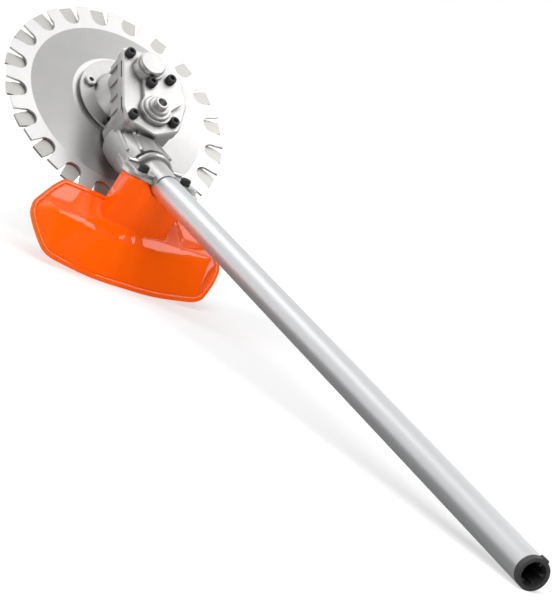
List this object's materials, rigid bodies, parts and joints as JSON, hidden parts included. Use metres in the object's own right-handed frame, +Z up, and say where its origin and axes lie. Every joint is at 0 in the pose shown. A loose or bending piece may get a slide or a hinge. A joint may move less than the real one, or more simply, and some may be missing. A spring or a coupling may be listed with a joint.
{
  "type": "brush cutter head",
  "caption": "Twin toothed disc brush cutter head with gear case, orange guard and a straight aluminium shaft tube that clamps to a power unit.",
  "frame": {"origin": "centre of the footprint at floor level, with the head resting on the guard's rear edge and the tube's far end", "axes": "+X along the tube's run towards the cutter, +Y to the left looking that way, +Z up"},
  "size_m": [1.0504, 0.23, 0.2174],
  "materials": {
    "tube_aluminium": "satin drawn",
    "casting": "fine die-cast, bead blasted",
    "cover_casting": "fine die-cast, bead blasted",
    "machined_aluminium": "fine turned",
    "plated_steel": "zinc plated",
    "blade_steel": "fine ground, satin",
    "lower_blade_steel": "fine ground, satin, warmer",
    "inner_steel": "turned and ground",
    "bronze": "turned",
    "black_screws": "black oxide",
    "black_plastic": "moulded",
    "seal_rubber": "moulded",
    "gasket": "pressed fibre",
    "orange_plastic": "gloss moulded"
  },
  "bodies": {
    "housing": {"tube": "tube_aluminium", "tube_end_bush": "black_plastic", "shaft_bushes": "black_plastic", "gear_case": "casting", "cover_gasket": "gasket", "gear_cover": "cover_casting", "cover_screws": "black_screws", "top_plate": "cover_casting", "plate_screws": "black_screws", "spindle_cap": "machined_aluminium", "grease_fitting": "machined_aluminium", "base_plate": "machined_aluminium", "base_screws": "black_screws", "flange_nipple": "plated_steel", "clamp_strap": "casting", "clamp_screws": "black_screws", "guard": "orange_plastic", "pinion_bearings": "inner_steel", "crank_bearings": "inner_steel", "spindle_bearings": "inner_steel", "spindle_seal": "seal_rubber"},
    "drive_line": {"drive_shaft": "inner_steel", "bevel_pinion": "inner_steel"},
    "crank": {"crank_shaft": "inner_steel", "bevel_ring_gear": "inner_steel"},
    "upper_cutter": {"outer_spindle": "inner_steel", "outer_spindle_arm": "inner_steel", "upper_blade_pin": "inner_steel", "spindle_bushes": "bronze", "upper_blade": "blade_steel", "blade_rivets": "inner_steel"},
    "lower_cutter": {"inner_spindle": "inner_steel", "inner_spindle_arm": "inner_steel", "lower_blade_pin": "inner_steel", "lower_blade": "lower_blade_steel", "thrust_washer": "plated_steel", "rider_cup": "plated_steel", "blade_nut": "plated_steel"},
    "upper_rod": {"upper_blade_rod": "inner_steel"},
    "lower_rod": {"lower_blade_rod": "inner_steel"}
  },
  "joints": [
    {"name": "crank_spin", "type": "hinge", "parent": "housing", "child": "crank", "pos_m": [0.38139, 0, 0.13125], "axis": [-0.6694, 0, 0.7429], "continuous": true},
    {"name": "drive_spin", "type": "hinge", "parent": "housing", "child": "drive_line", "pos_m": [0.33696, 0, 0.10774], "axis": [-0.9939, 0, -0.1106], "continuous": true},
    {"name": "upper_blade_swing", "type": "hinge", "parent": "housing", "child": "upper_cutter", "pos_m": [0.42969, 0, 0.14786], "axis": [-0.6694, 0, 0.7429], "range_deg": [-4.5, 4.5]},
    {"name": "lower_blade_swing", "type": "hinge", "parent": "housing", "child": "lower_cutter", "pos_m": [0.42969, 0, 0.14786], "axis": [-0.6694, 0, 0.7429], "range_deg": [-4.5, 4.5]},
    {"name": "upper_rod_pivot", "type": "hinge", "parent": "upper_cutter", "child": "upper_rod", "pos_m": [0.40144, 0.0125, 0.16278], "axis": [-0.6694, 0, 0.7429], "range_deg": [-6, 6]},
    {"name": "lower_rod_pivot", "type": "hinge", "parent": "lower_cutter", "child": "lower_rod", "pos_m": [0.39809, -0.0125, 0.1665], "axis": [-0.6694, 0, 0.7429], "range_deg": [-6, 6]}
  ],
  "couplings": [
    {"joint": "drive_spin", "follows": "crank_spin", "ratio": -1.5385},
    {"joint": "lower_blade_swing", "follows": "upper_blade_swing", "ratio": -1},
    {"joint": "upper_rod_pivot", "follows": "upper_blade_swing", "ratio": -1.1651},
    {"joint": "lower_rod_pivot", "follows": "upper_blade_swing", "ratio": 1.1651}
  ]
}
